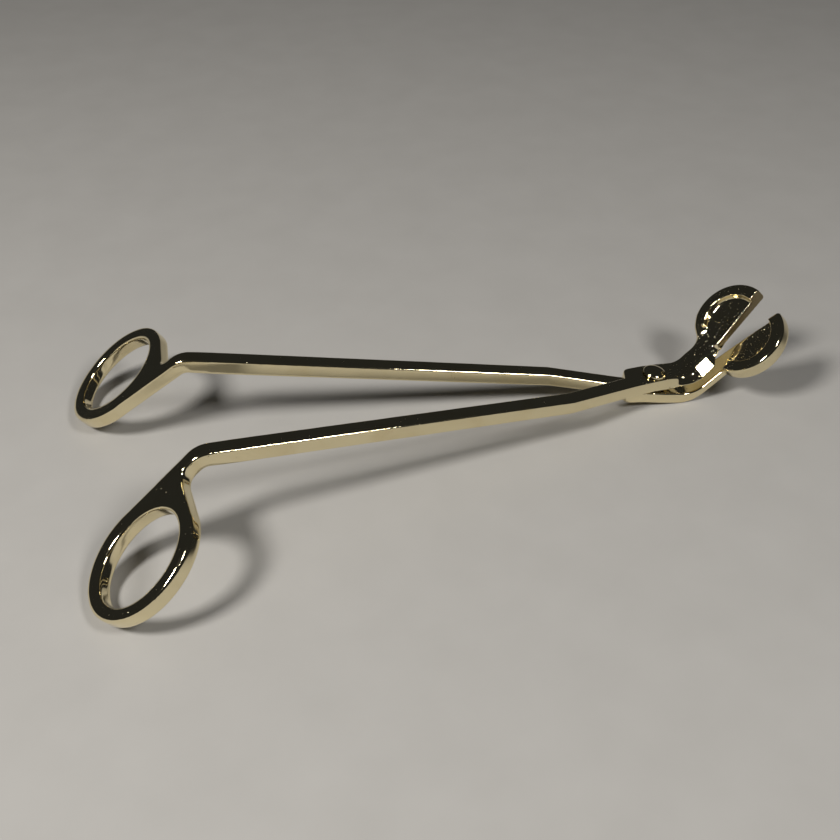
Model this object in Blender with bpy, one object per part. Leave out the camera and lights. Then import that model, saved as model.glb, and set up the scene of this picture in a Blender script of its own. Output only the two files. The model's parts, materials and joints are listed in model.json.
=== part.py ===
"""Wick trimmer: two crossing levers on one rivet, lying on a table as it is left after use.

The levers are laid out in the joint's own frame: the rivet's axis is Z, the joint face is z = 0,
the head points to +X and the finger rings to -X. The whole tool is then tipped about Y until the
heel of the joint and both finger rings touch the table, and moved to the middle of its footprint.
All sizes are in metres.
"""
import bpy
import bmesh
from math import asin, cos, pi, radians, sin, tan
from mathutils import Matrix, Vector

MM = 0.001
PALE_GOLD = (0.72, 0.62, 0.40)

# Joint and arms
MERGE = 0.005 * MM                # points closer than this are one
SHARP = radians(35)               # edges turned by more than this stay sharp
GAP = 0.3 * MM                    # working clearance between pieces
BAR_THICK = 4.2 * MM              # thickness of the arms and the finger rings
BAR_WIDE = 4.4 * MM               # width of an arm
EDGE_ROUND = 0.4 * MM             # rounding of the levers' long edges
EDGE_STEPS = 2                    # facets across a rounded edge, less one
JOINT_TOP = 4.0 * MM              # upper lever's top face over the joint face
JOINT_BOTTOM = -3.4 * MM          # lower lever's underside under the joint face
SPREAD = radians(3.96)            # each lever's turn away from the middle line as it lies
ELBOW_X = -28.1 * MM              # where an arm's outer edge bends
ELBOW_Y = -8.1 * MM
ELBOW_LEVEL = 0.4                 # share of the step down to ring level that is reached there
ARM_END_X = -124.8 * MM           # where an arm starts to bend down to its ring
ARM_END_Y = -12.4 * MM
HINGE_EDGE_Y = -3.25 * MM         # outer edge of an arm beside the rivet
HINGE_SLOPE = 0.165               # its slope, seen from above
SHOULDER_X = -7.7 * MM            # square shoulder behind the rivet
SHOULDER_Y = 3.5 * MM
SHOULDER_FOOT = 1.7 * MM          # how far the shoulder's foot lies behind it

# Finger rings
RING_BEND = radians(45.9)         # how far a ring is bent down from its arm
RING_BEND_R = 4.5 * MM            # radius of that bend at mid thickness
RING_DIST = 20.1 * MM             # ring centre past the end of the bend
RING_SIDE = -25.7 * MM            # ring centre across the arm
RING_TURN = radians(13.3)         # long axis turned outwards
RING_A = 16.2 * MM                # outside, half length
RING_B = 15.2 * MM                # outside, half width
FINGER_A = 12.5 * MM              # finger opening, half length
FINGER_B = 11.05 * MM             # finger opening, half width
FINGER_SHIFT = -0.4 * MM          # opening's centre across from the ring's
RING_FILLET = 3.0 * MM            # inside corner between arm and ring
RING_STEPS = 96                   # points round a ring
RING_BEND_STEPS = 6               # facets round the bend to a ring

# Head
HEAD_TILT = radians(51.85)        # head's slope from the joint face
HEAD_X = 3.68 * MM                # where the rim plane of the upper blade meets the joint face
RIM_THICK = 4.2 * MM              # thickness of the rim
NECK_THICK = 2.1 * MM             # thickness of the neck
DISH_TIP = 1.0 * MM               # depth of the dish under the rim, at the tip
DISH_THROAT = 2.1 * MM            # and at the throat, level with the neck
DISC_DIST = 25.35 * MM            # disc centre along the slope
THROAT_DIST = 18.0 * MM           # cutting edge at its inner end, along the slope
THROAT_SIDE = -1.5 * MM           # and across
TIP_SIDE = 1.5 * MM               # end of the cutting edge across, on the round of the disc
DISC_SIDE = 0.7 * MM              # disc centre across
DISC_A = 10.9 * MM                # disc radius along the slope
DISC_B = 11.5 * MM                # disc radius across
DISC_STEPS = 40                   # points round a half disc
RIM_WIDE = 3.5 * MM               # width of the rim
RIM_END_SIDE = 4.5 * MM           # where the rim stops beside the neck
RIM_ROUND = 0.2 * MM              # rounding of the disc's outer edges
BOWL = 0.6 * MM                   # extra depth of the dish along its middle
BOWL_FADE = 7.0 * MM              # length over which that depth comes in past the neck
BOWL_ROUND = 0.6 * MM             # rounding between the dish's floor and its wall
SIDE_DRAFT = 0.85                 # share of the near edge's height that slopes outwards
NECK_REACH = 18.5 * MM            # how far the neck runs up inside the disc
FLUSH = 0.05 * MM                 # neck's underside over the disc's, so that they join cleanly

# Rivet
RIVET_R = 2.0 * MM                # shank
DOME_R = 3.15 * MM                # domed head
DOME_HIGH = 1.5 * MM
TAIL_R = 2.9 * MM                 # tail, spread into the lower lever's countersink
TAIL_DEEP = 1.0 * MM
RIVET_CLEAR = 0.15 * MM           # clearance between the rivet and the levers' holes
HEAD_CLEAR = 0.2 * MM             # and between its head and the upper lever
TAIL_CLEAR = 0.1 * MM             # how far the tail stops short of the underside
DOME_EDGE = 0.3 * MM              # straight edge under the dome
TURN_STEPS = 48                   # facets round a turned shape
DOME_STEPS = 6                    # facets up the dome

SLOPE = Vector((cos(HEAD_TILT), 0, sin(HEAD_TILT)))
SLOPE_UP = Vector((-sin(HEAD_TILT), 0, cos(HEAD_TILT)))


class Lever:
    """Heights and outline values in which the two levers differ."""

    def __init__(self, top, bottom, rim_drop, top_r, bottom_r, reach):
        self.top = top                # top face at the joint
        self.bottom = bottom          # underside at the joint
        self.rim_drop = rim_drop      # rim plane under the upper blade's rim plane
        self.top_r = top_r            # radius of the top face's bend into the neck
        self.bottom_r = bottom_r      # radius of the underside's bend into the neck
        self.reach = reach            # flat length used up by the bend, past the slope's own


UPPER = Lever(JOINT_TOP, GAP / 2, 0.0, 4 * MM, 14 * MM, 3.3 * MM)
UPPER.plate_side = 4.6 * MM           # edge of the joint plate and neck across from the arm
UPPER.web = 6.8 * MM                  # how far that edge flares out into the disc
# Other edge of the neck, in millimetres: along, across on top, across underneath
UPPER.near = ((0, -3.3, -3.4), (4, -2.6, -3.2), (7, -2.3, -3.4), (10, -2.7, -4.6), (12, -3.0, -5.0),
              (12.8, -1.3, -5.0), (17.2, -1.3, -5.0), (19, -0.8, -2.6), (20.5, -0.25, -1.9),
              (21.6, -1.2, -2.0), (23.8, -1.1, -1.1))
# Edge of the disc from the neck to the cutting edge, in millimetres: along the slope, across
UPPER.throat = ((17.2, -0.25), (18.3, -1.2), (20.5, -1.09))
UPPER.dish_start = 18.0 * MM          # where the dish's floor comes level with the neck
UPPER.run_out = 1.5                   # how gently the rim's end runs out onto the neck

LOWER = Lever(-GAP / 2, JOINT_BOTTOM, RIM_THICK + GAP, 8 * MM, 9 * MM, 7.5 * MM)
LOWER.plate_side = 3.8 * MM
LOWER.web = LOWER.plate_side
LOWER.near = ((7, -2.1, -2.1), (13, -2.4, -2.4), (17, -2.6, -2.6), (21.2, -2.1, -2.1), (23.3, -1.9, -1.9),
              (26, -1.4, -1.4))
LOWER.throat = ((14.7, 3.8), (14.7, -2.1), (15.8, -1.86))
LOWER.dish_start = 14.7 * MM
LOWER.run_out = 0.0


def oval(half_long, half_wide, turn, centre, steps):
    """Points round an oval whose long axis points to -X, turned by turn towards -Y."""
    points = []
    for i in range(steps):
        a = 2 * pi * i / steps
        u, v = half_long * cos(a), half_wide * sin(a)
        points.append((centre[0] - u * cos(turn) + v * sin(turn),
                       centre[1] - u * sin(turn) - v * cos(turn)))
    return points


def soften(before, corner, after, steps):
    """A corner rounded as a parabola between two points on its sides."""
    points = []
    for i in range(steps + 1):
        t = i / steps
        points.append(tuple((1 - t) ** 2 * a + 2 * t * (1 - t) * b + t * t * c
                            for a, b, c in zip(before, corner, after)))
    return points


def lever_outline(lever):
    """One lever laid flat: arm on -Y, blade side on +Y. Returns its outer edge and its finger opening."""
    ring = (ARM_END_X - RING_BEND * RING_BEND_R - RING_DIST, RING_SIDE)
    circle = oval(RING_A, RING_B, RING_TURN, ring, RING_STEPS)
    inner = max(range(RING_STEPS), key=lambda i: circle[i][1])
    outer = max(range(RING_STEPS), key=lambda i: circle[i][0])
    around = [circle[i % RING_STEPS] for i in range(outer, inner - RING_STEPS - 1, -1)]
    corner = (circle[outer][0], ARM_END_Y - 0.2 * MM)
    fillet = soften((corner[0] + RING_FILLET, corner[1]), corner, (corner[0], corner[1] - RING_FILLET), 6)
    inside_edge = [(ARM_END_X, ARM_END_Y + BAR_WIDE), (ELBOW_X, ELBOW_Y + BAR_WIDE)]
    heel_x = SHOULDER_X - SHOULDER_FOOT
    heel = (heel_x, HINGE_EDGE_Y + HINGE_SLOPE * heel_x + BAR_WIDE)
    shoulder = soften((SHOULDER_X - 0.5 * MM, SHOULDER_Y - 1 * MM), (SHOULDER_X, SHOULDER_Y),
                      (SHOULDER_X + 1.3 * MM, SHOULDER_Y + 0.2 * MM), 3)
    side = lever.plate_side
    end = NECK_REACH + lever.reach
    web = soften((end - 8 * MM, side), (end - 4.2 * MM, side), (end - 2.5 * MM, lever.web), 4)
    far_edge = [(-2 * MM, side - 0.3 * MM), (3 * MM, side)] + web + [(end, lever.web)]
    near = [(x * MM, y * MM) for x, y, _ in lever.near]
    outline = (inside_edge + [heel] + shoulder + far_edge + near[::-1]
               + [(ELBOW_X, ELBOW_Y), (ARM_END_X, ARM_END_Y)] + fillet + around)
    return outline, oval(FINGER_A, FINGER_B, RING_TURN, (ring[0], ring[1] + FINGER_SHIFT), RING_STEPS)


def flat_plate(name, outlines, thickness, edge):
    """A flat plate from closed outlines, its long edges rounded, lying on z = 0."""
    curve = bpy.data.curves.new(name, "CURVE")
    curve.dimensions = "2D"
    curve.fill_mode = "BOTH"
    curve.extrude = thickness / 2 - edge
    curve.bevel_depth = edge
    curve.bevel_resolution = EDGE_STEPS - 1
    curve.offset = -edge
    for outline in outlines:
        spline = curve.splines.new("POLY")
        spline.points.add(len(outline) - 1)
        for point, (x, y) in zip(spline.points, outline):
            point.co = (x, y, 0, 1)
        spline.use_cyclic_u = True
    holder = bpy.data.objects.new(name, curve)
    bpy.context.scene.collection.objects.link(holder)
    evaluated = holder.evaluated_get(bpy.context.evaluated_depsgraph_get())
    mesh = bpy.data.meshes.new_from_object(evaluated)
    bpy.data.objects.remove(holder)
    plate = bmesh.new()
    plate.from_mesh(mesh)
    bmesh.ops.remove_doubles(plate, verts=plate.verts, dist=MERGE)
    bmesh.ops.translate(plate, verts=plate.verts, vec=(0, 0, thickness / 2))
    bmesh.ops.recalc_face_normals(plate, faces=plate.faces)
    return plate


def cut_across(plate, places, along=(1, 0, 0)):
    """Extra edges across a plate, so that it can bend there."""
    for place in places:
        parts = plate.verts[:] + plate.edges[:] + plate.faces[:]
        bmesh.ops.bisect_plane(plate, geom=parts, dist=MERGE / 5, plane_co=Vector(along) * place,
                               plane_no=along)


def head_profile(along, level, drop, bend_r, reach):
    """Side view of one face of the joint plate and neck: flat, then bent up into the head's slope."""
    corner = HEAD_X + drop / sin(HEAD_TILT) + level / tan(HEAD_TILT)
    start = corner - bend_r * tan(HEAD_TILT / 2)
    if along <= start:
        return Vector((along, 0, level))
    finish = Vector((corner, 0, level)) + SLOPE * (corner - start)
    finish_along = (finish - Vector((HEAD_X, 0, 0))).dot(SLOPE) + reach
    if along >= finish_along:
        return finish + SLOPE * (along - finish_along)
    turn = HEAD_TILT * (along - start) / (finish_along - start)
    return Vector((start + bend_r * sin(turn), 0, level + bend_r * (1 - cos(turn))))


def arm_point(along, share):
    """Side view of an arm, from the joint to the bent-down ring, at a share of its thickness."""
    height = (share - 0.5) * BAR_THICK
    if along >= ARM_END_X:
        return Vector((along, 0, height))
    bend = min((ARM_END_X - along) / RING_BEND_R, RING_BEND)
    point = Vector((ARM_END_X - RING_BEND_R * sin(bend), 0, RING_BEND_R * (cos(bend) - 1)))
    point += Vector((-cos(bend), 0, -sin(bend))) * (ARM_END_X - along - bend * RING_BEND_R)
    return point + Vector((-sin(bend), 0, cos(bend))) * height


def near_draft(lever, along):
    """How much further out the neck's near edge stands underneath than on top."""
    last = lever.near[0]
    for here in lever.near[1:]:
        if last[0] * MM <= along <= here[0] * MM:
            t = (along / MM - last[0]) / (here[0] - last[0])
            return ((1 - t) * (last[2] - last[1]) + t * (here[2] - here[1])) * MM
        last = here
    return 0.0


def bend_lever(plate, lever):
    """Bends the flat lever: the arm steps down to ring level, the ring bends down, the neck bends up."""
    ring_bend = RING_BEND * RING_BEND_R
    cut_across(plate, [(1 - SIDE_DRAFT) * BAR_THICK], (0, 0, 1))
    cut_across(plate, [ARM_END_X - ring_bend * i / RING_BEND_STEPS for i in range(RING_BEND_STEPS + 1)])
    cut_across(plate, [ELBOW_X, SHOULDER_X] + [(1 + 1.5 * i) * MM for i in range(13)])
    under_drop = lever.rim_drop + RIM_THICK - FLUSH
    over_drop = lever.rim_drop + RIM_THICK - NECK_THICK
    for vert in plate.verts:
        along, across, share = vert.co.x, vert.co.y, vert.co.z / BAR_THICK
        if along > SHOULDER_X:
            under = head_profile(along, lever.bottom, under_drop, lever.bottom_r, lever.reach)
            over = head_profile(along, lever.top, over_drop, lever.top_r, lever.reach)
            point = under.lerp(over, share)
            if across < 0:
                across += near_draft(lever, along) * min(1, (1 - share) / SIDE_DRAFT)
        else:
            stepped = ELBOW_LEVEL * (SHOULDER_X - along) / (SHOULDER_X - ELBOW_X)
            if along < ELBOW_X:
                stepped = ELBOW_LEVEL + (1 - ELBOW_LEVEL) * (ELBOW_X - along) / (ELBOW_X - ARM_END_X)
            at_joint = lever.bottom + share * (lever.top - lever.bottom)
            point = arm_point(along, share)
            point.z += max(0, 1 - stepped) * (at_joint - (share - 0.5) * BAR_THICK)
        vert.co = Vector((point.x, across, point.z))


def round_of_disc(inset, from_side, to_side):
    """The disc's round edge from the tip side, at from_side across, to the neck side, at to_side."""
    half_long, half_wide = DISC_A - inset, DISC_B - inset
    start = asin((from_side - DISC_SIDE) / half_wide)
    finish = pi - asin((to_side - DISC_SIDE) / half_wide)
    angles = [start + (finish - start) * i / DISC_STEPS for i in range(DISC_STEPS + 1)]
    return [(DISC_DIST + half_long * cos(a), DISC_SIDE + half_wide * sin(a)) for a in angles]


def to_slope(mesh, drop):
    """Moves a shape from its own flat frame onto the head's slope, its z = 0 drop under the rim plane."""
    origin = Vector((HEAD_X, 0, 0)) - SLOPE_UP * drop
    place = Matrix((SLOPE, Vector((0, 1, 0)), SLOPE_UP)).transposed().to_4x4()
    bmesh.ops.transform(mesh, matrix=Matrix.Translation(origin) @ place, verts=mesh.verts)


def edge_side(along):
    """The cutting edge's place across, at a distance along the slope."""
    return THROAT_SIDE + (TIP_SIDE - THROAT_SIDE) * (along - THROAT_DIST) / (DISC_DIST + DISC_A - THROAT_DIST)


def blade_disc(lever):
    """The disc at a blade's end, before it is cut straight and dished."""
    spare = 5 * MM
    outline = round_of_disc(0, -spare, RIM_END_SIDE) + [((lever.throat[0][0] - 1) * MM, -spare)]
    disc = flat_plate("disc", [outline], RIM_THICK, RIM_ROUND)
    to_slope(disc, lever.rim_drop + RIM_THICK)
    return disc


def shear_cutter(lever):
    """Takes the disc away past its cutting edge, and beside the throat."""
    away = 45 * MM
    spare = 1 * MM
    throat = [(x * MM, y * MM) for x, y in lever.throat]
    behind = throat[0][0] - 4 * spare
    outline = [(behind, throat[0][1])] + throat + [(away, edge_side(away)), (away, -away), (behind, -away)]
    cutter = flat_plate("shear", [outline], RIM_THICK + 2 * spare, MERGE * 2)
    to_slope(cutter, lever.rim_drop + RIM_THICK + spare)
    return cutter


def dish_cutter(lever):
    """The dish inside the rim: open to the neck and to the cutting edge."""
    away = 12 * MM
    near_wall = 0.3 * MM
    bowl = round_of_disc(RIM_WIDE, edge_side(DISC_DIST + DISC_A - RIM_WIDE), RIM_END_SIDE)
    opening = [(away, RIM_END_SIDE), (away, -away), (bowl[0][0], -away)]
    cutter = flat_plate("dish", [bowl + opening], 6 * MM, BOWL_ROUND)
    cut_across(cutter, [(18 + 2.5 * i) * MM for i in range(6)])
    cut_across(cutter, [(-1.5 + 2 * i) * MM for i in range(6)], (0, 1, 0))
    fall = (DISH_THROAT - DISH_TIP) / (bowl[0][0] - lever.dish_start)
    middle = (edge_side(DISC_DIST) + DISC_SIDE + DISC_B - RIM_WIDE) / 2
    for vert in cutter.verts:
        along, across, up = vert.co
        if along < bowl[-1][0] + near_wall and across > RIM_END_SIDE - near_wall:
            vert.co.y += lever.run_out * up
        off = (across - middle) / (middle - edge_side(DISC_DIST))
        reach = min(1, max(0, (along - NECK_REACH) / BOWL_FADE))
        deeper = BOWL * max(0, 1 - off * off) * reach * reach * (3 - 2 * reach)
        vert.co.z += fall * (along - bowl[0][0]) - deeper
    to_slope(cutter, lever.rim_drop + DISH_TIP)
    return cutter


def turned(profile):
    """A closed solid turned about the rivet's axis from (radius, height) pairs, top to bottom."""
    solid = bmesh.new()
    rings = []
    for radius, height in profile:
        rings.append([solid.verts.new((radius * cos(a), radius * sin(a), height))
                      for a in (2 * pi * i / TURN_STEPS for i in range(TURN_STEPS))])
    for upper, lower in zip(rings, rings[1:]):
        for i in range(TURN_STEPS):
            j = (i + 1) % TURN_STEPS
            solid.faces.new((upper[i], lower[i], lower[j], upper[j]))
    solid.faces.new(rings[0])
    solid.faces.new(rings[-1][::-1])
    bmesh.ops.recalc_face_normals(solid, faces=solid.faces)
    return solid


def hole_cutter(lever):
    """The rivet's hole; the lower lever's is countersunk for the spread tail."""
    past = 1 * MM
    radius = RIVET_R + RIVET_CLEAR
    if lever is UPPER:
        return turned([(radius, lever.top + past), (radius, lever.bottom - past)])
    wide = TAIL_R + RIVET_CLEAR
    fall = (TAIL_R - RIVET_R) / TAIL_DEEP
    top_of_sink = lever.bottom + TAIL_DEEP
    return turned([(radius, lever.top + past), (radius, top_of_sink + RIVET_CLEAR),
                   (wide + fall * past, lever.bottom - past + RIVET_CLEAR)])


def rivet_body():
    """Domed head, shank and spread tail, turned in one piece."""
    under_head = JOINT_TOP + HEAD_CLEAR
    tail_low = JOINT_BOTTOM + TAIL_CLEAR
    dome = []
    for i in range(1, DOME_STEPS + 1):
        a = pi / 2 * i / DOME_STEPS
        dome.append((DOME_R * sin(a), under_head + DOME_EDGE + (DOME_HIGH - DOME_EDGE) * cos(a)))
    return turned(dome + [(DOME_R, under_head), (RIVET_R, under_head), (RIVET_R, JOINT_BOTTOM + TAIL_DEEP),
                          (TAIL_R - MERGE * 10, tail_low)])


def mesh_object(name, shape, collection, material=None):
    """Puts a finished bmesh, in flat triangles, into a new object in a collection."""
    bmesh.ops.triangulate(shape, faces=shape.faces)
    mesh = bpy.data.meshes.new(name)
    shape.to_mesh(mesh)
    shape.free()
    made = bpy.data.objects.new(name, mesh)
    collection.objects.link(made)
    if material:
        mesh.materials.append(material)
    return made


def boolean(target, tool, operation):
    """Adds one exact Boolean to a piece; the tool stays as a hidden guide."""
    tool.hide_render = True
    tool.display_type = "WIRE"
    modifier = target.modifiers.new(tool.name, "BOOLEAN")
    modifier.operation = operation
    modifier.solver = "EXACT"
    modifier.object = tool


def plated(name, colour, roughness):
    """Pale gold plating on metal."""
    material = bpy.data.materials.new(name)
    material.use_nodes = True
    shader = material.node_tree.nodes["Principled BSDF"]
    shader.inputs["Base Color"].default_value = (*colour, 1)
    shader.inputs["Metallic"].default_value = 1.0
    shader.inputs["Roughness"].default_value = roughness
    return material


def lever_object(name, lever, parts, cutters, material):
    """One lever: arm, ring and neck bent from the flat, the dished half disc joined on, the hole cut."""
    plate = flat_plate(name, lever_outline(lever), BAR_THICK, EDGE_ROUND)
    bend_lever(plate, lever)
    made = mesh_object(name, plate, parts, material)
    disc = mesh_object(name + "_disc", blade_disc(lever), cutters)
    shear = mesh_object(name + "_shear", shear_cutter(lever), cutters)
    dish = mesh_object(name + "_dish", dish_cutter(lever), cutters)
    hole = mesh_object(name + "_hole", hole_cutter(lever), cutters)
    boolean(disc, shear, "DIFFERENCE")
    boolean(disc, dish, "DIFFERENCE")
    boolean(made, disc, "UNION")
    boolean(made, hole, "DIFFERENCE")
    return made


def finish_lever(made, side, joint):
    """Works a lever's modifiers into its mesh and sets it on the joint; side is -1 for the mirrored one."""
    evaluated = made.evaluated_get(bpy.context.evaluated_depsgraph_get())
    mesh = bpy.data.meshes.new_from_object(evaluated)
    shape = bmesh.new()
    shape.from_mesh(mesh)
    bmesh.ops.remove_doubles(shape, verts=shape.verts, dist=MERGE * 0.4)
    bmesh.ops.dissolve_degenerate(shape, edges=shape.edges, dist=MERGE * 0.4)
    if side < 0:
        bmesh.ops.scale(shape, vec=(1, side, 1), verts=shape.verts)
        bmesh.ops.reverse_faces(shape, faces=shape.faces)
    bmesh.ops.triangulate(shape, faces=shape.faces)
    shape.to_mesh(mesh)
    shape.free()
    mesh.shade_smooth()
    mesh.set_sharp_from_angle(angle=SHARP)
    made.modifiers.clear()
    made.data = mesh
    made.parent = joint
    made.rotation_euler.z = SPREAD * side


def lying_tilt(points):
    """The tip about Y at which the finger rings and the joint's heel touch the table together."""
    rings = [p for p in points if p.x < ARM_END_X]
    heel = [p for p in points if p.x > ELBOW_X]
    low, high = 0.0, radians(20)
    for _ in range(40):
        middle = (low + high) / 2
        lows = [min(p.z * cos(middle) - p.x * sin(middle) for p in part) for part in (rings, heel)]
        if lows[0] < lows[1]:
            low = middle
        else:
            high = middle
    return low


def lay_down(joint, pieces):
    """Tips the joint until the tool lies on the table, and moves the footprint's middle to the origin."""
    points = []
    for piece in pieces:
        turn = Matrix.Rotation(piece.rotation_euler.z, 4, "Z")
        points += [turn @ vert.co for vert in piece.data.vertices]
    joint.rotation_euler.y = lying_tilt(points)
    tip = Matrix.Rotation(joint.rotation_euler.y, 4, "Y")
    points = [tip @ p for p in points]
    low = Vector(min(p[i] for p in points) for i in range(3))
    high = Vector(max(p[i] for p in points) for i in range(3))
    joint.location = (-(low.x + high.x) / 2, -(low.y + high.y) / 2, -low.z)


def build():
    """Makes the two levers and the rivet, and lays the tool on the table."""
    for old in list(bpy.data.objects):
        bpy.data.objects.remove(old)
    parts = bpy.data.collections.new("wick_trimmer")
    cutters = bpy.data.collections.new("cutters")
    for collection in (parts, cutters):
        bpy.context.scene.collection.children.link(collection)
    joint = bpy.data.objects.new("rivet_axis", None)
    parts.objects.link(joint)
    upper = lever_object("upper_lever", UPPER, parts, cutters, plated("upper_lever_plating", PALE_GOLD, 0.12))
    lower = lever_object("lower_lever", LOWER, parts, cutters, plated("lower_lever_plating", PALE_GOLD, 0.12))
    finish_lever(upper, 1, joint)
    finish_lever(lower, -1, joint)
    rivet = mesh_object("pivot_rivet", rivet_body(), parts, plated("rivet_plating", PALE_GOLD, 0.15))
    rivet.data.shade_smooth()
    rivet.data.set_sharp_from_angle(angle=SHARP)
    rivet.parent = joint
    lay_down(joint, (upper, lower, rivet))


build()
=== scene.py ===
"""Wick trimmer in pale gold plate: two crossing levers on one rivet, lying on a pale table.

Each lever is built laid flat, bent to shape, given its dished half disc and then eased all over like a
tumbled and plated casting. The shapes are made in the joint's own frame: the rivet's axis is Z, the joint
face is z = 0, the head points to +X and the finger rings to -X. Lengths are in metres.
"""
import bpy
import bmesh
import json
from math import asin, cos, pi, radians, sin, tan
from mathutils import Matrix, Vector, noise


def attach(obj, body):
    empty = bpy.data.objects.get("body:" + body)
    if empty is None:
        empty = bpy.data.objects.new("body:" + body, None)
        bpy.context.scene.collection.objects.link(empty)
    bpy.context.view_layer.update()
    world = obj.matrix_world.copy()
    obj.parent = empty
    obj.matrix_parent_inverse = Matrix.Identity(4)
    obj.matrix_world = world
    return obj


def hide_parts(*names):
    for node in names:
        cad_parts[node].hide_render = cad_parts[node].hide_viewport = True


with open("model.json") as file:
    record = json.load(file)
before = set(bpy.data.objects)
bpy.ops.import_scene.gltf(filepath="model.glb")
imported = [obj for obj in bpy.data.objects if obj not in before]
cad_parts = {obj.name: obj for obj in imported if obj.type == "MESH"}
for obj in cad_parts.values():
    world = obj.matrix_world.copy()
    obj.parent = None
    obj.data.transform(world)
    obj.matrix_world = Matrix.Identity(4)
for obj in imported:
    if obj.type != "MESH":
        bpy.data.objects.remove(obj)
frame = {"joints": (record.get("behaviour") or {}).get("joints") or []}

MM = 0.001
MERGE = 0.005 * MM                # points closer than this are one

# Joint and arms
GAP = 0.3 * MM                    # working clearance between pieces
BAR_THICK = 4.2 * MM              # thickness of the arms and the finger rings
BAR_WIDE = 4.4 * MM               # width of an arm
EDGE_ROUND = 0.45 * MM            # rounding of the levers' long edges
EDGE_STEPS = 4                    # facets across a rounded edge, less one
JOINT_TOP = 4.0 * MM              # upper lever's top face over the joint face
JOINT_BOTTOM = -3.4 * MM          # lower lever's underside under the joint face
SPREAD = radians(3.96)            # each lever's turn away from the middle line as it lies
ELBOW_X = -28.1 * MM              # where an arm's outer edge bends
ELBOW_Y = -8.1 * MM
ELBOW_LEVEL = 0.4                 # share of the step down to ring level that is reached there
ARM_END_X = -124.8 * MM           # where an arm starts to bend down to its ring
ARM_END_Y = -12.4 * MM
HINGE_EDGE_Y = -3.25 * MM         # outer edge of an arm beside the rivet
HINGE_SLOPE = 0.165               # its slope, seen from above
SHOULDER_X = -7.7 * MM            # square shoulder behind the rivet
SHOULDER_Y = 3.5 * MM
SHOULDER_FOOT = 1.7 * MM          # how far the shoulder's foot lies behind it

# Finger rings
RING_BEND = radians(45.9)         # how far a ring is bent down from its arm
RING_BEND_R = 4.5 * MM            # radius of that bend at mid thickness
RING_DIST = 20.1 * MM             # ring centre past the end of the bend
RING_SIDE = -25.7 * MM            # ring centre across the arm
RING_TURN = radians(13.3)         # long axis turned outwards
RING_A = 16.2 * MM                # outside, half length
RING_B = 15.2 * MM                # outside, half width
FINGER_A = 12.5 * MM              # finger opening, half length
FINGER_B = 11.05 * MM             # finger opening, half width
FINGER_SHIFT = -0.4 * MM          # opening's centre across from the ring's
RING_FILLET = 3.0 * MM            # inside corner between arm and ring
RING_STEPS = 240                  # points round a ring
RING_BEND_STEPS = 14              # facets round the bend to a ring

# Head
HEAD_TILT = radians(51.85)        # head's slope from the joint face
HEAD_X = 3.68 * MM                # where the rim plane of the upper blade meets the joint face
RIM_THICK = 4.2 * MM              # thickness of the rim
NECK_THICK = 2.1 * MM             # thickness of the neck
DISH_TIP = 1.0 * MM               # depth of the dish under the rim, at the tip
DISH_THROAT = 2.1 * MM            # and at the throat, level with the neck
DISC_DIST = 25.35 * MM            # disc centre along the slope
THROAT_DIST = 18.0 * MM           # cutting edge at its inner end, along the slope
THROAT_SIDE = -1.5 * MM           # and across
TIP_SIDE = 1.5 * MM               # end of the cutting edge across, on the round of the disc
DISC_SIDE = 0.7 * MM              # disc centre across
DISC_A = 10.9 * MM                # disc radius along the slope
DISC_B = 11.5 * MM                # disc radius across
DISC_STEPS = 120                  # points round a half disc
RIM_WIDE = 3.5 * MM               # width of the rim
RIM_END_SIDE = 4.5 * MM           # where the rim stops beside the neck
RIM_ROUND = 0.8 * MM              # rounding of the disc's outer edges
BOWL = 0.6 * MM                   # extra depth of the dish along its middle
BOWL_FADE = 7.0 * MM              # length over which that depth comes in past the neck
BOWL_ROUND = 0.6 * MM             # rounding between the dish's floor and its wall
SIDE_DRAFT = 0.85                 # share of the near edge's height that slopes outwards
NECK_REACH = 18.5 * MM            # how far the neck runs up inside the disc
NECK_STEP = 0.5 * MM              # spacing of the edges that let the neck bend
FLUSH = 0.05 * MM                 # neck's underside over the disc's, so that they join cleanly

# Rivet
RIVET_R = 2.0 * MM                # shank
DOME_R = 3.15 * MM                # domed head
DOME_HIGH = 1.5 * MM
TAIL_R = 2.9 * MM                 # tail, spread into the lower lever's countersink
TAIL_DEEP = 1.0 * MM
RIVET_CLEAR = 0.15 * MM           # clearance between the rivet and the levers' holes
HEAD_CLEAR = 0.2 * MM             # and between its head and the upper lever
TAIL_CLEAR = 0.1 * MM             # how far the tail stops short of the underside
DOME_EDGE = 0.3 * MM              # straight edge under the dome
DOME_STEPS = 25                   # facets up the dome
TAIL_ROUND = 0.25 * MM            # rounding of the tail's edge
TURN_STEPS = 144                  # facets round a turned shape

# Finish
SKIN = 0.2 * MM                   # mesh size of the eased surface
EASE_ALL = 6                      # smoothing passes over the whole lever
EASE_RING = 70                    # more passes over the finger rings, worn rounder
EASE_DISH = 8                     # more over the head
EASE_WEB = 160                    # and where the upper rim runs out into the neck
EASE_BEVEL = 30                   # and along the upper neck's sloping side
WAVE = 0.018 * MM                 # height of the casting's slow unevenness
WAVE_LONG = 7 * MM                # and its length
SHARP = radians(50)               # edges of the rivet turned by more than this stay sharp

# Plating
GOLD = (0.86, 0.76, 0.50, 1)
HANDLED = (0.80, 0.69, 0.43, 1)   # where it is dulled by fingers
WORN = (0.90, 0.70, 0.42, 1)      # along rubbed edges
GROUND = (0.15, 0.11, 0.055, 1)   # on the shear faces
PIT_PAINTED_SHADE = (0.30, 0.24, 0.13, 1)    # painted shade in the pits and specks
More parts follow.
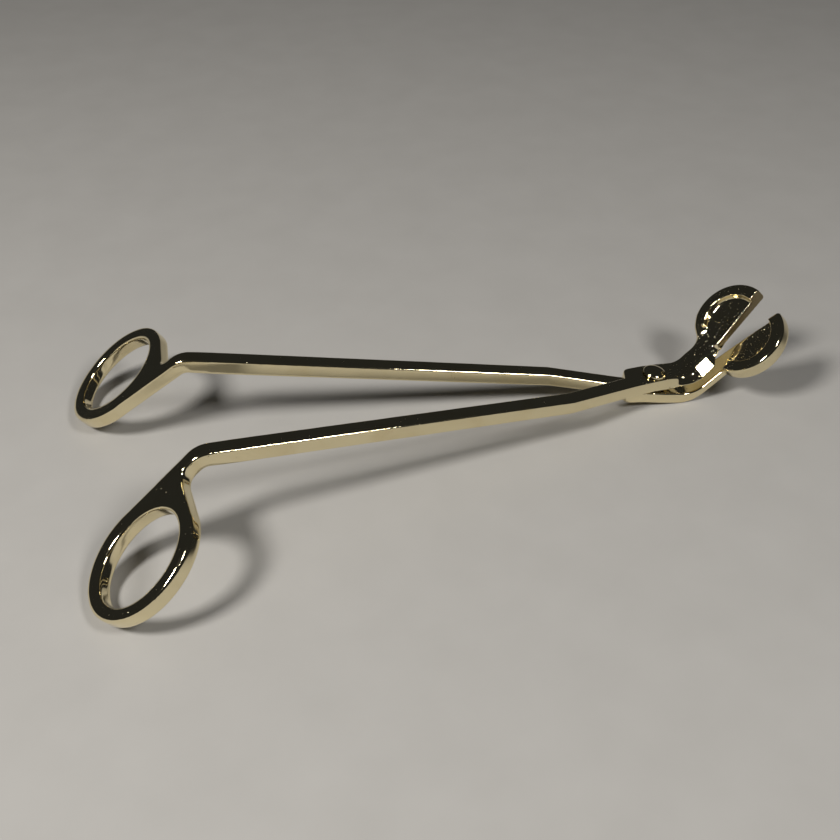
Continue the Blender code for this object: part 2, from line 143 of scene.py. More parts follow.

# Studio
TABLE_DARK = (0.42, 0.41, 0.39, 1)
TABLE_LIGHT = (0.47, 0.46, 0.44, 1)
LAMP_DIST = 0.75
LAMP_WIDE = 0.18
KEY_FROM = (-0.62, -0.25, 0.74)
FILL_FROM = (0.376, -0.55, 0.75)
VIEW_AZIMUTH = radians(-15.19)
VIEW_ELEVATION = radians(39.225)
VIEW_ROLL = radians(-0.507)
VIEW_DIST = 297.5 * MM
VIEW_AIM = Vector((-8.24, -5.63, 12.0)) * MM
VIEW_LENS = 49.55                 # for a frame 36 wide

SLOPE = Vector((cos(HEAD_TILT), 0, sin(HEAD_TILT)))
SLOPE_UP = Vector((-sin(HEAD_TILT), 0, cos(HEAD_TILT)))


class Lever:
    """Heights and outline values in which the two levers differ."""

    def __init__(self, top, bottom, rim_drop, top_r, bottom_r, reach):
        self.top = top                # top face at the joint
        self.bottom = bottom          # underside at the joint
        self.rim_drop = rim_drop      # rim plane under the upper blade's rim plane
        self.top_r = top_r            # radius of the top face's bend into the neck
        self.bottom_r = bottom_r      # radius of the underside's bend into the neck
        self.reach = reach            # flat length used up by the bend, past the slope's own


UPPER = Lever(JOINT_TOP, GAP / 2, 0.0, 4 * MM, 14 * MM, 3.3 * MM)
UPPER.plate_side = 4.6 * MM           # edge of the joint plate and neck across from the arm
UPPER.web = 6.8 * MM                  # how far that edge flares out into the disc
# Other edge of the neck, in millimetres: along, across on top, across underneath
UPPER.near = ((0, -3.3, -3.4), (4, -2.6, -3.2), (7, -2.3, -3.4), (10, -2.7, -4.6), (12, -3.0, -5.0),
              (12.8, -1.3, -5.0), (17.2, -1.3, -5.0), (19, -0.8, -2.6), (20.5, -0.25, -1.9),
              (21.6, -1.2, -2.0), (23.8, -1.1, -1.1))
# Edge of the disc from the neck to the cutting edge, in millimetres: along the slope, across
UPPER.throat = ((17.2, -0.25), (18.3, -1.2), (20.5, -1.09))
UPPER.dish_start = 18.0 * MM          # where the dish's floor comes level with the neck
UPPER.run_out = 1.5                   # how gently the rim's end runs out onto the neck

LOWER = Lever(-GAP / 2, JOINT_BOTTOM, RIM_THICK + GAP, 8 * MM, 9 * MM, 7.5 * MM)
LOWER.plate_side = 3.8 * MM
LOWER.web = LOWER.plate_side
LOWER.near = ((7, -2.1, -2.1), (13, -2.4, -2.4), (17, -2.6, -2.6), (21.2, -2.1, -2.1), (23.3, -1.9, -1.9),
              (26, -1.4, -1.4))
LOWER.throat = ((14.7, 3.8), (14.7, -2.1), (15.8, -1.86))
LOWER.dish_start = 14.7 * MM
LOWER.run_out = 0.0


def oval(half_long, half_wide, turn, centre, steps):
    """Points round an oval whose long axis points to -X, turned by turn towards -Y."""
    points = []
    for i in range(steps):
        a = 2 * pi * i / steps
        u, v = half_long * cos(a), half_wide * sin(a)
        points.append((centre[0] - u * cos(turn) + v * sin(turn),
                       centre[1] - u * sin(turn) - v * cos(turn)))
    return points


def soften(before, corner, after, steps):
    """A corner rounded as a parabola between two points on its sides."""
    points = []
    for i in range(steps + 1):
        t = i / steps
        points.append(tuple((1 - t) ** 2 * a + 2 * t * (1 - t) * b + t * t * c
                            for a, b, c in zip(before, corner, after)))
    return points


def lever_outline(lever):
    """One lever laid flat: arm on -Y, blade side on +Y. Returns its outer edge and its finger opening."""
    ring = (ARM_END_X - RING_BEND * RING_BEND_R - RING_DIST, RING_SIDE)
    circle = oval(RING_A, RING_B, RING_TURN, ring, RING_STEPS)
    inner = max(range(RING_STEPS), key=lambda i: circle[i][1])
    outer = max(range(RING_STEPS), key=lambda i: circle[i][0])
    around = [circle[i % RING_STEPS] for i in range(outer, inner - RING_STEPS - 1, -1)]
    corner = (circle[outer][0], ARM_END_Y - 0.2 * MM)
    fillet = soften((corner[0] + RING_FILLET, corner[1]), corner, (corner[0], corner[1] - RING_FILLET), 16)
    inside_edge = [(ARM_END_X, ARM_END_Y + BAR_WIDE), (ELBOW_X, ELBOW_Y + BAR_WIDE)]
    heel_x = SHOULDER_X - SHOULDER_FOOT
    heel = (heel_x, HINGE_EDGE_Y + HINGE_SLOPE * heel_x + BAR_WIDE)
    shoulder = soften((SHOULDER_X - 0.5 * MM, SHOULDER_Y - 1 * MM), (SHOULDER_X, SHOULDER_Y),
                      (SHOULDER_X + 1.3 * MM, SHOULDER_Y + 0.2 * MM), 8)
    side = lever.plate_side
    end = NECK_REACH + lever.reach
    web = soften((end - 8 * MM, side), (end - 4.2 * MM, side), (end - 2.5 * MM, lever.web), 8)
    far_edge = [(-2 * MM, side - 0.3 * MM), (3 * MM, side)] + web + [(end, lever.web)]
    near = [(x * MM, y * MM) for x, y, _ in lever.near]
    outline = (inside_edge + [heel] + shoulder + far_edge + near[::-1]
               + [(ELBOW_X, ELBOW_Y), (ARM_END_X, ARM_END_Y)] + fillet + around)
    return outline, oval(FINGER_A, FINGER_B, RING_TURN, (ring[0], ring[1] + FINGER_SHIFT), RING_STEPS)


def flat_plate(name, outlines, thickness, edge):
    """A flat plate from closed outlines, its long edges rounded, lying on z = 0."""
    curve = bpy.data.curves.new(name, "CURVE")
    curve.dimensions = "2D"
    curve.fill_mode = "BOTH"
    curve.extrude = thickness / 2 - edge
    curve.bevel_depth = edge
    curve.bevel_resolution = EDGE_STEPS - 1
    curve.offset = -edge
    for outline in outlines:
        spline = curve.splines.new("POLY")
        spline.points.add(len(outline) - 1)
        for point, (x, y) in zip(spline.points, outline):
            point.co = (x, y, 0, 1)
        spline.use_cyclic_u = True
    holder = bpy.data.objects.new(name, curve)
    bpy.context.scene.collection.objects.link(holder)
    evaluated = holder.evaluated_get(bpy.context.evaluated_depsgraph_get())
    mesh = bpy.data.meshes.new_from_object(evaluated)
    bpy.data.objects.remove(holder)
    plate = bmesh.new()
    plate.from_mesh(mesh)
    bmesh.ops.remove_doubles(plate, verts=plate.verts, dist=MERGE)
    bmesh.ops.translate(plate, verts=plate.verts, vec=(0, 0, thickness / 2))
    bmesh.ops.recalc_face_normals(plate, faces=plate.faces)
    return plate


def cut_across(plate, places, along=(1, 0, 0)):
    """Extra edges across a plate, so that it can bend there."""
    for place in places:
        parts = plate.verts[:] + plate.edges[:] + plate.faces[:]
        bmesh.ops.bisect_plane(plate, geom=parts, dist=MERGE / 5, plane_co=Vector(along) * place,
                               plane_no=along)


def head_profile(along, level, drop, bend_r, reach):
    """Side view of one face of the joint plate and neck: flat, then bent up into the head's slope."""
    corner = HEAD_X + drop / sin(HEAD_TILT) + level / tan(HEAD_TILT)
    start = corner - bend_r * tan(HEAD_TILT / 2)
    if along <= start:
        return Vector((along, 0, level))
    finish = Vector((corner, 0, level)) + SLOPE * (corner - start)
    finish_along = (finish - Vector((HEAD_X, 0, 0))).dot(SLOPE) + reach
    if along >= finish_along:
        return finish + SLOPE * (along - finish_along)
    turn = HEAD_TILT * (along - start) / (finish_along - start)
    return Vector((start + bend_r * sin(turn), 0, level + bend_r * (1 - cos(turn))))


def arm_point(along, share):
    """Side view of an arm, from the joint to the bent-down ring, at a share of its thickness."""
    height = (share - 0.5) * BAR_THICK
    if along >= ARM_END_X:
        return Vector((along, 0, height))
    bend = min((ARM_END_X - along) / RING_BEND_R, RING_BEND)
    point = Vector((ARM_END_X - RING_BEND_R * sin(bend), 0, RING_BEND_R * (cos(bend) - 1)))
    point += Vector((-cos(bend), 0, -sin(bend))) * (ARM_END_X - along - bend * RING_BEND_R)
    return point + Vector((-sin(bend), 0, cos(bend))) * height


def near_draft(lever, along):
    """How much further out the neck's near edge stands underneath than on top."""
    last = lever.near[0]
    for here in lever.near[1:]:
        if last[0] * MM <= along <= here[0] * MM:
            t = (along / MM - last[0]) / (here[0] - last[0])
            return ((1 - t) * (last[2] - last[1]) + t * (here[2] - here[1])) * MM
        last = here
    return 0.0


def bend_lever(plate, lever):
    """Bends the flat lever: the arm steps down to ring level, the ring bends down, the neck bends up."""
    ring_bend = RING_BEND * RING_BEND_R
    cut_across(plate, [(1 - SIDE_DRAFT) * BAR_THICK], (0, 0, 1))
    cut_across(plate, [ARM_END_X - ring_bend * i / RING_BEND_STEPS for i in range(RING_BEND_STEPS + 1)])
    cut_across(plate, [ELBOW_X, SHOULDER_X] + [NECK_STEP * i for i in range(-2, 44)])
    under_drop = lever.rim_drop + RIM_THICK - FLUSH
    over_drop = lever.rim_drop + RIM_THICK - NECK_THICK
    for vert in plate.verts:
        along, across, share = vert.co.x, vert.co.y, vert.co.z / BAR_THICK
        if along > SHOULDER_X:
            under = head_profile(along, lever.bottom, under_drop, lever.bottom_r, lever.reach)
            over = head_profile(along, lever.top, over_drop, lever.top_r, lever.reach)
            point = under.lerp(over, share)
            if across < 0:
                across += near_draft(lever, along) * min(1, (1 - share) / SIDE_DRAFT)
        else:
            stepped = ELBOW_LEVEL * (SHOULDER_X - along) / (SHOULDER_X - ELBOW_X)
            if along < ELBOW_X:
                stepped = ELBOW_LEVEL + (1 - ELBOW_LEVEL) * (ELBOW_X - along) / (ELBOW_X - ARM_END_X)
            at_joint = lever.bottom + share * (lever.top - lever.bottom)
            point = arm_point(along, share)
            point.z += max(0, 1 - stepped) * (at_joint - (share - 0.5) * BAR_THICK)
        vert.co = Vector((point.x, across, point.z))


def round_of_disc(inset, from_side, to_side):
    """The disc's round edge from the tip side, at from_side across, to the neck side, at to_side."""
    half_long, half_wide = DISC_A - inset, DISC_B - inset
    start = asin((from_side - DISC_SIDE) / half_wide)
    finish = pi - asin((to_side - DISC_SIDE) / half_wide)
    angles = [start + (finish - start) * i / DISC_STEPS for i in range(DISC_STEPS + 1)]
    return [(DISC_DIST + half_long * cos(a), DISC_SIDE + half_wide * sin(a)) for a in angles]


def to_slope(mesh, drop):
    """Moves a shape from its own flat frame onto the head's slope, its z = 0 drop under the rim plane."""
    origin = Vector((HEAD_X, 0, 0)) - SLOPE_UP * drop
    place = Matrix((SLOPE, Vector((0, 1, 0)), SLOPE_UP)).transposed().to_4x4()
    bmesh.ops.transform(mesh, matrix=Matrix.Translation(origin) @ place, verts=mesh.verts)


def edge_side(along):
    """The cutting edge's place across, at a distance along the slope."""
    return THROAT_SIDE + (TIP_SIDE - THROAT_SIDE) * (along - THROAT_DIST) / (DISC_DIST + DISC_A - THROAT_DIST)


def blade_disc(lever):
    """The disc at a blade's end, before it is cut straight and dished."""
    spare = 5 * MM
    outline = round_of_disc(0, -spare, RIM_END_SIDE) + [((lever.throat[0][0] - 1) * MM, -spare)]
    disc = flat_plate("disc", [outline], RIM_THICK, RIM_ROUND)
    to_slope(disc, lever.rim_drop + RIM_THICK)
    return disc


def shear_cutter(lever):
    """Takes the disc away past its cutting edge, and beside the throat."""
    away = 45 * MM
    spare = 1 * MM
    throat = [(x * MM, y * MM) for x, y in lever.throat]
    behind = throat[0][0] - 4 * spare
    outline = [(behind, throat[0][1])] + throat + [(away, edge_side(away)), (away, -away), (behind, -away)]
    cutter = flat_plate("shear", [outline], RIM_THICK + 2 * spare, MERGE * 2)
    to_slope(cutter, lever.rim_drop + RIM_THICK + spare)
    return cutter


def dish_cutter(lever):
    """The dish inside the rim: open to the neck and to the cutting edge."""
    away = 12 * MM
    near_wall = 0.3 * MM
    bowl = round_of_disc(RIM_WIDE, edge_side(DISC_DIST + DISC_A - RIM_WIDE), RIM_END_SIDE)
    opening = [(away, RIM_END_SIDE), (away, -away), (bowl[0][0], -away)]
    cutter = flat_plate("dish", [bowl + opening], 6 * MM, BOWL_ROUND)
    cut_across(cutter, [(13 + i) * MM for i in range(20)])
    cut_across(cutter, [(-2 + i) * MM for i in range(11)], (0, 1, 0))
    fall = (DISH_THROAT - DISH_TIP) / (bowl[0][0] - lever.dish_start)
    middle = (edge_side(DISC_DIST) + DISC_SIDE + DISC_B - RIM_WIDE) / 2
    for vert in cutter.verts:
        along, across, up = vert.co
        if along < bowl[-1][0] + near_wall and across > RIM_END_SIDE - near_wall:
            vert.co.y += lever.run_out * up
        off = (across - middle) / (middle - edge_side(DISC_DIST))
        reach = min(1, max(0, (along - NECK_REACH) / BOWL_FADE))
        deeper = BOWL * max(0, 1 - off * off) * reach * reach * (3 - 2 * reach)
        vert.co.z += fall * (along - bowl[0][0]) - deeper
    to_slope(cutter, lever.rim_drop + DISH_TIP)
    return cutter


def turned(profile):
    """A closed solid turned about the rivet's axis from (radius, height) pairs, top to bottom."""
    solid = bmesh.new()
    rings = []
    for radius, height in profile:
        rings.append([solid.verts.new((radius * cos(a), radius * sin(a), height))
                      for a in (2 * pi * i / TURN_STEPS for i in range(TURN_STEPS))])
    for upper, lower in zip(rings, rings[1:]):
        for i in range(TURN_STEPS):
            j = (i + 1) % TURN_STEPS
            solid.faces.new((upper[i], lower[i], lower[j], upper[j]))
    solid.faces.new(rings[0])
    solid.faces.new(rings[-1][::-1])
    bmesh.ops.recalc_face_normals(solid, faces=solid.faces)
    return solid


def hole_cutter(lever):
    """The rivet's hole; the lower lever's is countersunk for the spread tail."""
    past = 1 * MM
    radius = RIVET_R + RIVET_CLEAR
    if lever is UPPER:
        return turned([(radius, lever.top + past), (radius, lever.bottom - past)])
    fall = (TAIL_R - RIVET_R) / TAIL_DEEP
    return turned([(radius, lever.top + past), (radius, lever.bottom + TAIL_DEEP + RIVET_CLEAR),
                   (TAIL_R + RIVET_CLEAR + fall * past, lever.bottom - past + RIVET_CLEAR)])


def arc(centre, radius, start, finish, steps):
    """Profile points along a round, by angle from the level outward direction."""
    angles = [start + (finish - start) * i / steps for i in range(steps + 1)]
    return [(centre[0] + radius * cos(a), centre[1] + radius * sin(a)) for a in angles]


def rivet_body():
    """Domed head with an eased rim, shank and spread tail, turned in one piece."""
    under_head = JOINT_TOP + HEAD_CLEAR
    tail_low = JOINT_BOTTOM + TAIL_CLEAR
    rise = DOME_HIGH - DOME_EDGE
    ease = DOME_EDGE / 2
    dome = []
    for i in range(1, DOME_STEPS):
        a = pi / 2 * i / DOME_STEPS
        dome.append((DOME_R * sin(a), under_head + DOME_EDGE + rise * cos(a)))
    eased = arc((DOME_R - ease, under_head + ease), ease, 0, -pi / 2, 6)
    tail = arc((TAIL_R - DOME_EDGE, tail_low + TAIL_ROUND), TAIL_ROUND, 0, -pi / 2, 6)
    dimple = [(TAIL_R * share, tail_low + rise_up) for share, rise_up in
              ((0.45, 0), (0.3, 0.12 * MM), (0.1, 0.2 * MM))]
    return turned(dome + [(DOME_R, under_head + DOME_EDGE)] + eased + [(RIVET_R, under_head)]
                  + [(RIVET_R, JOINT_BOTTOM + TAIL_DEEP)] + tail + dimple)


def mesh_object(name, shape):
    """Puts a finished bmesh, in flat triangles, into a new object."""
    bmesh.ops.triangulate(shape, faces=shape.faces)
    mesh = bpy.data.meshes.new(name)
    shape.to_mesh(mesh)
    shape.free()
    made = bpy.data.objects.new(name, mesh)
    bpy.context.scene.collection.objects.link(made)
    return made


def work_in(made):
    """Works a piece's modifiers into its mesh."""
    evaluated = made.evaluated_get(bpy.context.evaluated_depsgraph_get())
    mesh = bpy.data.meshes.new_from_object(evaluated)
    made.modifiers.clear()
    made.data = mesh


def boolean(target, tool, operation):
    """Joins a tool shape to a piece or cuts it away, and removes the tool."""
    modifier = target.modifiers.new("shape", "BOOLEAN")
    modifier.operation = operation
    modifier.solver = "EXACT"
    modifier.object = tool
    work_in(target)
    bpy.data.objects.remove(tool)


def crisp_lever(name, lever):
    """One lever with crisp edges: bent from the flat, the dished half disc joined on, the hole cut."""
    plate = flat_plate(name, lever_outline(lever), BAR_THICK, EDGE_ROUND)
    bend_lever(plate, lever)
    made = mesh_object(name, plate)
    disc = mesh_object("disc", blade_disc(lever))
    boolean(disc, mesh_object("shear", shear_cutter(lever)), "DIFFERENCE")
    boolean(disc, mesh_object("dish", dish_cutter(lever)), "DIFFERENCE")
    boolean(made, disc, "UNION")
    boolean(made, mesh_object("hole", hole_cutter(lever)), "DIFFERENCE")
    return made


def ease(made, passes, weight=None):
    """Smooths a mesh; weight gives each point's share of the smoothing, if it isn't the whole mesh's."""
    modifier = made.modifiers.new("ease", "SMOOTH")
    modifier.factor = 0.5
    modifier.iterations = passes
    if weight:
        part = made.vertex_groups.new(name="part")
        modifier.vertex_group = "part"
        for vert in made.data.vertices:
            share = weight(vert.co)
            if share > 0:
                part.add([vert.index], min(share, 1), "REPLACE")
    work_in(made)
    made.vertex_groups.clear()


def on_ring(point):
    """How far a point is past the arm's end, onto the finger ring."""
    return (ARM_END_X + 6 * MM - point.x) / (12 * MM)


def on_dish(point):
    """How far a point is up the head, past the joint plate."""
    return (point.x - 12 * MM) / (4 * MM)


def on_bevel(point):
    """How near a point is to the upper edge of the upper neck's sloping side."""
    middle = Vector((HEAD_X, -1.2 * MM, 0)) + SLOPE * 11.5 * MM - SLOPE_UP * NECK_THICK
    return 1.5 - (point - middle).length / (2.6 * MM)


def on_web(point):
    """How near a point is to where the upper rim runs out into the neck."""
    rim_end = Vector((HEAD_X, 5.5 * MM, 0)) + SLOPE * 16.2 * MM - SLOPE_UP * 0.8 * MM
    return 1.7 - (point - rim_end).length / (3.4 * MM)


def tumbled(made, lever):
    """Eases a crisp lever: an even skin drawn onto it, its edges and corners smoothed, the rings' more."""
    crisp = bpy.data.objects.new("crisp", made.data)
    bpy.context.scene.collection.objects.link(crisp)
    skin = made.modifiers.new("skin", "REMESH")
    skin.mode = "VOXEL"
    skin.voxel_size = SKIN
    wrap = made.modifiers.new("wrap", "SHRINKWRAP")
    wrap.target = crisp
    wrap.wrap_method = "NEAREST_SURFACEPOINT"
    work_in(made)
    bpy.data.objects.remove(crisp)
    ease(made, EASE_ALL)
    ease(made, EASE_RING, on_ring)
    ease(made, EASE_DISH, on_dish)
    if lever is UPPER:
        ease(made, EASE_WEB, on_web)
        ease(made, EASE_BEVEL, on_bevel)


def uneven(made, seed):
    """The slow unevenness of a casting polished by hand."""
    offset = Vector((seed, seed, seed))
    normals = [vert.normal.copy() for vert in made.data.vertices]
    for vert, normal in zip(made.data.vertices, normals):
        vert.co -= normal * WAVE * (1 + noise.noise(vert.co / WAVE_LONG + offset))


def mark_faces(made):
    """Stores how near each point is to the shear face and to the head, for the finish to read."""
    shear = made.data.attributes.new("shear_face", "FLOAT", "POINT")
    head = made.data.attributes.new("head", "FLOAT", "POINT")
    across = Vector((TIP_SIDE - THROAT_SIDE, THROAT_DIST - DISC_DIST - DISC_A)).normalized()
    out = SLOPE * across.x + Vector((0, across.y, 0))
    throat = Vector((HEAD_X, THROAT_SIDE, 0)) + SLOPE * THROAT_DIST
    for i, vert in enumerate(made.data.vertices):
        depth = (vert.co - throat).dot(out)
        along = (vert.co - throat).dot(SLOPE)
        on_face = abs(depth) < 0.12 * MM and vert.normal.dot(out) > 0.8 and along > -0.5 * MM
        shear.data[i].value = 1.0 if on_face else 0.0
        head.data[i].value = max(0.0, min(1.0, 1.2 - (vert.co - throat).length / (22 * MM)))


def place(made, side):
    """Sets a piece onto the joint; side is 1 for the upper lever, -1 for the lower one, 0 for the rivet."""
    shape = bmesh.new()
    shape.from_mesh(made.data)
    if side < 0:
        bmesh.ops.scale(shape, vec=(1, side, 1), verts=shape.verts)
        bmesh.ops.reverse_faces(shape, faces=shape.faces)
    shape.transform(JOINT @ Matrix.Rotation(SPREAD * side, 4, "Z"))
    shape.to_mesh(made.data)
    shape.free()
    made.data.shade_smooth()


def joint_matrix():
    """The joint's frame in the row frame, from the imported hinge."""
    hinge = frame["joints"][0]
    up = Vector(hinge["axis"]).normalized()
    across = Vector((0, 1, 0))
    turn = Matrix((across.cross(up), across, up)).transposed().to_4x4()
    return Matrix.Translation(hinge["pos_m"]) @ turn


# Finishes

def group(name, inputs, outputs):
    """An empty shader node group with its inputs and outputs."""
    tree = bpy.data.node_groups.new(name, "ShaderNodeTree")
    for label, kind, value in inputs:
        socket = tree.interface.new_socket(label, in_out="INPUT", socket_type=kind)
        if value is not None:
            socket.default_value = value
    for label, kind in outputs:
        tree.interface.new_socket(label, in_out="OUTPUT", socket_type=kind)
    return tree, tree.nodes.new("NodeGroupInput").outputs, tree.nodes.new("NodeGroupOutput").inputs


def feed(tree, made, key, value):
    """Links a socket to a node's input, or sets the input to a value."""
    if isinstance(value, bpy.types.NodeSocket):
        tree.links.new(value, made.inputs[key])
    else:
        made.inputs[key].default_value = value


def node(tree, kind, links=(), **settings):
    """Adds a node; settings are its properties, links are (input, socket or value) pairs."""
    made = tree.nodes.new(kind)
    for key, value in settings.items():
        setattr(made, key, value)
    for key, value in links:
        feed(tree, made, key, value)
    return made


def maths(tree, operation, *values, clamp=False):
    """One Math node's value."""
    made = node(tree, "ShaderNodeMath", list(enumerate(values)), operation=operation, use_clamp=clamp)
    return made.outputs[0]


def noisy(tree, vector, scale, detail, distortion=0.0):
    """One Noise Texture's value."""
    made = node(tree, "ShaderNodeTexNoise", [("Vector", vector), ("Scale", scale), ("Detail", detail),
                                             ("Distortion", distortion)])
    return made.outputs["Fac"]


def blend(tree, share, first, second):
    """Two colours mixed by a share."""
    made = node(tree, "ShaderNodeMix", [("Factor", share)], data_type="RGBA")
    feed(tree, made, "A", first)
    feed(tree, made, "B", second)
    return made.outputs["Result"]


def ramp(tree, value, low, high):
    """A value stretched so that low becomes 0 and high becomes 1, with soft ends."""
    made = node(tree, "ShaderNodeMapRange", [("Value", value), ("From Min", low), ("From Max", high)],
                interpolation_type="SMOOTHSTEP")
    return made.outputs["Result"]


def pits_group():
    """Tiny round pits and specks in the plating, thrown where Share allows."""
    tree, given, out = group("plating_pits",
                             [("Vector", "NodeSocketVector", None), ("Spacing", "NodeSocketFloat", 0.0009),
                              ("Share", "NodeSocketFloat", 0.1)],
                             [("Mask", "NodeSocketFloat"), ("Height", "NodeSocketFloat")])
    scale = maths(tree, "DIVIDE", 1.0, given["Spacing"])
    cells = node(tree, "ShaderNodeTexVoronoi", [("Vector", given["Vector"]), ("Scale", scale)])
    pick = node(tree, "ShaderNodeSeparateColor", [("Color", cells.outputs["Color"])])
    chosen = maths(tree, "LESS_THAN", pick.outputs["Red"], given["Share"])
    reach = maths(tree, "MULTIPLY_ADD", pick.outputs["Green"], 0.2, 0.1)
    inside = maths(tree, "DIVIDE", cells.outputs["Distance"], reach)
    dot = ramp(tree, inside, 1.0, 0.4)
    tree.links.new(maths(tree, "MULTIPLY", dot, chosen), out["Mask"])
    tree.links.new(maths(tree, "MULTIPLY", maths(tree, "MULTIPLY", dot, chosen), -1.0), out["Height"])
    return tree


def ripple_group():
    """The slight orange peel of bright plate over a cast surface."""
    tree, given, out = group("plating_ripple",
                             [("Vector", "NodeSocketVector", None), ("Coarse", "NodeSocketFloat", 1.0),
                              ("Fine", "NodeSocketFloat", 0.3)],
                             [("Height", "NodeSocketFloat")])
    slow = noisy(tree, given["Vector"], 420.0, 1.0)
    quick = noisy(tree, given["Vector"], 2600.0, 2.0)
    both = maths(tree, "ADD", maths(tree, "MULTIPLY", slow, given["Coarse"]),
                 maths(tree, "MULTIPLY", quick, given["Fine"]))
    tree.links.new(both, out["Height"])
    return tree


def hairline_group():
    """Fine handling scratches in two crossing directions."""
    tree, given, out = group("hairlines",
                             [("Vector", "NodeSocketVector", None), ("Turn", "NodeSocketFloat", 0.4)],
                             [("Mask", "NodeSocketFloat")])
    marks = []
    for i, (turn, stretch) in enumerate(((0.0, 9.0), (1.9, 14.0))):
        angle = maths(tree, "ADD", given["Turn"], turn)
        spun = node(tree, "ShaderNodeVectorRotate", [("Vector", given["Vector"]), ("Angle", angle)],
                    rotation_type="AXIS_ANGLE")
        spun.inputs["Axis"].default_value = (0.3 * i, 0.2, 1.0)
        drawn = node(tree, "ShaderNodeVectorMath", [(0, spun.outputs[0])], operation="MULTIPLY")
        drawn.inputs[1].default_value = (stretch * 12, stretch * 120, stretch * 120)
        lines = noisy(tree, drawn.outputs[0], 1.0, 1.0)
        off = maths(tree, "ABSOLUTE", maths(tree, "SUBTRACT", lines, 0.5))
        marks.append(ramp(tree, off, 0.006, 0.0))
    patches = ramp(tree, noisy(tree, given["Vector"], 130.0, 2.0), 0.5, 0.66)
    tree.links.new(maths(tree, "MULTIPLY", maths(tree, "MAXIMUM", *marks), patches), out["Mask"])
    return tree


def smudge_group():
    """Finger marks and dulled patches."""
    tree, given, out = group("handling", [("Vector", "NodeSocketVector", None)],
                             [("Mask", "NodeSocketFloat")])
    broad = noisy(tree, given["Vector"], 95.0, 4.0, 0.6)
    tree.links.new(ramp(tree, broad, 0.45, 0.72), out["Mask"])
    return tree


def wear_group():
    """Edges rubbed through to warmer metal, broken up along their length."""
    tree, given, out = group("worn_edges",
                             [("Vector", "NodeSocketVector", None), ("Pointiness", "NodeSocketFloat", 0.5)],
                             [("Mask", "NodeSocketFloat")])
    edge = ramp(tree, given["Pointiness"], 0.52, 0.58)
    broken = ramp(tree, noisy(tree, given["Vector"], 700.0, 3.0), 0.48, 0.6)
    tree.links.new(maths(tree, "MULTIPLY", edge, broken), out["Mask"])
    return tree


def plating(name, groups, turn, pit_share):
    """Bright pale gold plate; the shear faces are ground, so duller and browner."""
    material = bpy.data.materials.new(name)
    material.use_nodes = True
    tree = material.node_tree
    shader = tree.nodes["Principled BSDF"]
    shader.inputs["Metallic"].default_value = 1.0
    where = node(tree, "ShaderNodeTexCoord").outputs["Object"]
    pointed = node(tree, "ShaderNodeNewGeometry").outputs["Pointiness"]

    def use(group_name, *links):
        made = node(tree, "ShaderNodeGroup", node_tree=groups[group_name])
        for key, value in (("Vector", where),) + links:
            feed(tree, made, key, value)
        return made.outputs

    head = node(tree, "ShaderNodeAttribute", attribute_name="head").outputs["Fac"]
    ground = node(tree, "ShaderNodeAttribute", attribute_name="shear_face").outputs["Fac"]
    crowded = maths(tree, "MAXIMUM", head, maths(tree, "MULTIPLY", ground, 2.5))
    share = maths(tree, "MULTIPLY_ADD", crowded, 0.3, pit_share)
    pits = use("pits", ("Share", share))
    specks = use("pits", ("Share", maths(tree, "MULTIPLY", share, 1.6)), ("Spacing", 0.45 * MM))
    ripple = use("ripple", ("Coarse", 1.0), ("Fine", 0.25))
    lines = use("hairlines", ("Turn", turn))
    marks = use("handling")
    wear = use("wear", ("Pointiness", pointed))

    # Where the pits and specks lie: it drives the painted shade in them and their real roughness
    pits_and_painted_shade = maths(tree, "MAXIMUM", pits["Mask"], specks["Mask"])
    tone = blend(tree, marks["Mask"], GOLD, HANDLED)
    tone = blend(tree, maths(tree, "MULTIPLY", wear["Mask"], 0.5), tone, WORN)
    tone = blend(tree, maths(tree, "MULTIPLY", ground, 0.85), tone, GROUND)
    # Painted shade: the pits and specks are darkened in colour, as shade in them would darken them
    tone = blend(tree, maths(tree, "MULTIPLY", pits_and_painted_shade, 0.35), tone, PIT_PAINTED_SHADE)
    tree.links.new(tone, shader.inputs["Base Color"])

    rough = maths(tree, "MULTIPLY_ADD", marks["Mask"], 0.06, 0.055)
    rough = maths(tree, "MULTIPLY_ADD", lines["Mask"], 0.10, rough)
    rough = maths(tree, "MULTIPLY_ADD", wear["Mask"], 0.05, rough)
    rough = maths(tree, "MULTIPLY_ADD", ground, 0.25, rough)
    rough = maths(tree, "MULTIPLY_ADD", pits_and_painted_shade, 0.3, rough)
    tree.links.new(rough, shader.inputs["Roughness"])

    grain = maths(tree, "MULTIPLY", noisy(tree, where, 5200.0, 3.0), ground)
    height = maths(tree, "MULTIPLY", ripple["Height"], 0.003)
    height = maths(tree, "MULTIPLY_ADD", pits["Height"], 0.05, height)
    height = maths(tree, "MULTIPLY_ADD", specks["Height"], 0.02, height)
    height = maths(tree, "MULTIPLY_ADD", lines["Mask"], -0.0004, height)
    height = maths(tree, "MULTIPLY_ADD", grain, 0.012, height)
    bump = node(tree, "ShaderNodeBump", [("Height", height), ("Distance", MM), ("Strength", 1.0)])
    tree.links.new(bump.outputs["Normal"], shader.inputs["Normal"])
    return material


def table_finish():
    """Pale laminate with a very faint mottle."""
    material = bpy.data.materials.new("pale_table")
    material.use_nodes = True
    tree = material.node_tree
    shader = tree.nodes["Principled BSDF"]
    where = node(tree, "ShaderNodeTexCoord").outputs["Object"]
    tone = blend(tree, noisy(tree, where, 60.0, 5.0), TABLE_DARK, TABLE_LIGHT)
    tree.links.new(tone, shader.inputs["Base Color"])
    shader.inputs["Roughness"].default_value = 0.7
    return material


# Studio

def table():
    """A wide pale table top under the tool."""
    shape = bmesh.new()
    bmesh.ops.create_grid(shape, x_segments=8, y_segments=8, size=4.0)
    made = mesh_object("table", shape)
    made.data.materials.append(table_finish())


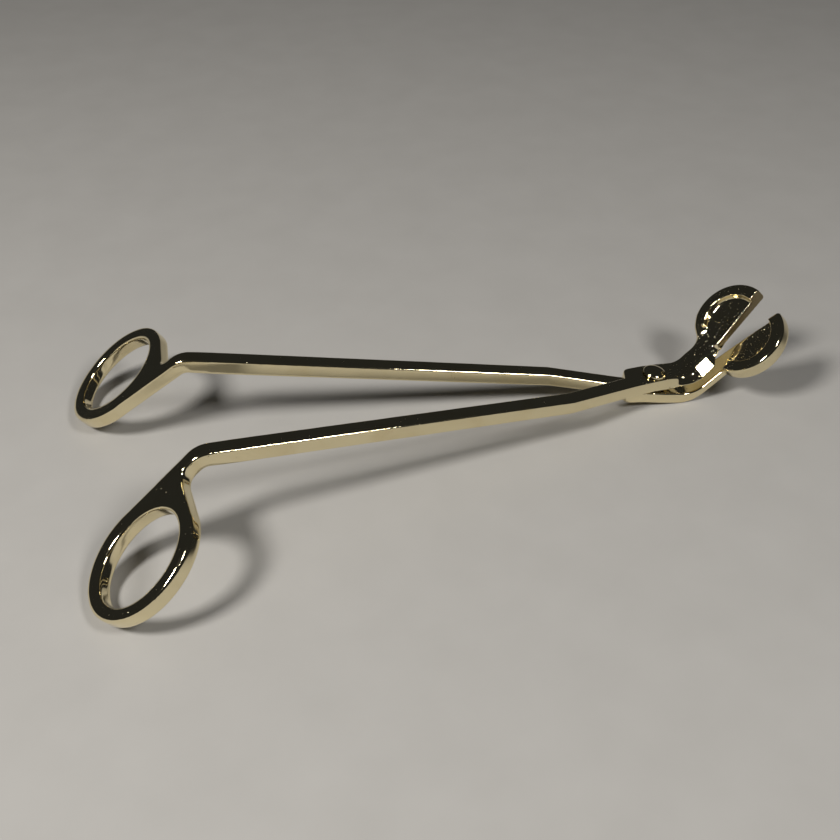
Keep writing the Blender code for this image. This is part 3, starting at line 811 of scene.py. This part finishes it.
def lamp(name, direction, power, colour):
    """A soft round lamp aimed at the tool."""
    data = bpy.data.lights.new(name, "AREA")
    data.shape = "DISK"
    data.size = LAMP_WIDE
    data.energy = power
    data.color = colour
    made = bpy.data.objects.new(name, data)
    made.location = Vector(direction).normalized() * LAMP_DIST
    made.rotation_euler = Vector(direction).to_track_quat("Z", "Y").to_euler()
    bpy.context.scene.collection.objects.link(made)


def room(strength):
    """A dim, even room."""
    world = bpy.data.worlds.new("room")
    bpy.context.scene.world = world
    world.use_nodes = True
    world.node_tree.nodes["Background"].inputs["Color"].default_value = (0.9, 0.95, 1.0, 1)
    world.node_tree.nodes["Background"].inputs["Strength"].default_value = strength


def camera():
    """Looks down at the tool from in front of its middle."""
    flat = cos(VIEW_ELEVATION)
    back = Vector((sin(VIEW_AZIMUTH) * flat, -cos(VIEW_AZIMUTH) * flat, sin(VIEW_ELEVATION)))
    level = Vector((cos(VIEW_AZIMUTH), sin(VIEW_AZIMUTH), 0))
    right = level * cos(VIEW_ROLL) + back.cross(level) * sin(VIEW_ROLL)
    data = bpy.data.cameras.new("camera")
    data.lens = VIEW_LENS
    data.sensor_width = 36
    data.clip_start = 0.01
    made = bpy.data.objects.new("camera", data)
    turn = Matrix((right, back.cross(right), back)).transposed().to_4x4()
    made.matrix_world = Matrix.Translation(VIEW_AIM + back * VIEW_DIST) @ turn
    bpy.context.scene.collection.objects.link(made)
    bpy.context.scene.camera = made
    bpy.context.scene.view_settings.view_transform = "Standard"


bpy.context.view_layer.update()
JOINT = joint_matrix()
camera()
table()
lamp("key", KEY_FROM, 4.4, (1.0, 0.97, 0.93))
lamp("fill", FILL_FROM, 2.2, (1.0, 0.98, 0.95))
room(0.02)

groups = {"pits": pits_group(), "ripple": ripple_group(), "hairlines": hairline_group(),
          "handling": smudge_group(), "wear": wear_group()}

for name, lever, side, body, slot, seed in (
        ("polished_upper_lever", UPPER, 1, "upper", "upper_lever_plating", 3.1),
        ("polished_lower_lever", LOWER, -1, "lower", "lower_lever_plating", 8.7)):
    made = crisp_lever(name, lever)
    tumbled(made, lever)
    uneven(made, seed)
    mark_faces(made)
    place(made, side)
    made.data.materials.clear()
    made.data.materials.append(plating(slot, groups, seed, 0.02))
    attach(made, body)
    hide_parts(body + "_lever")

rivet = mesh_object("polished_rivet", rivet_body())
place(rivet, 0)
rivet.data.set_sharp_from_angle(angle=SHARP)
rivet.data.materials.append(plating("rivet_plating", groups, 1.0, 0.05))
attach(rivet, "lower")
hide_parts("pivot_rivet")
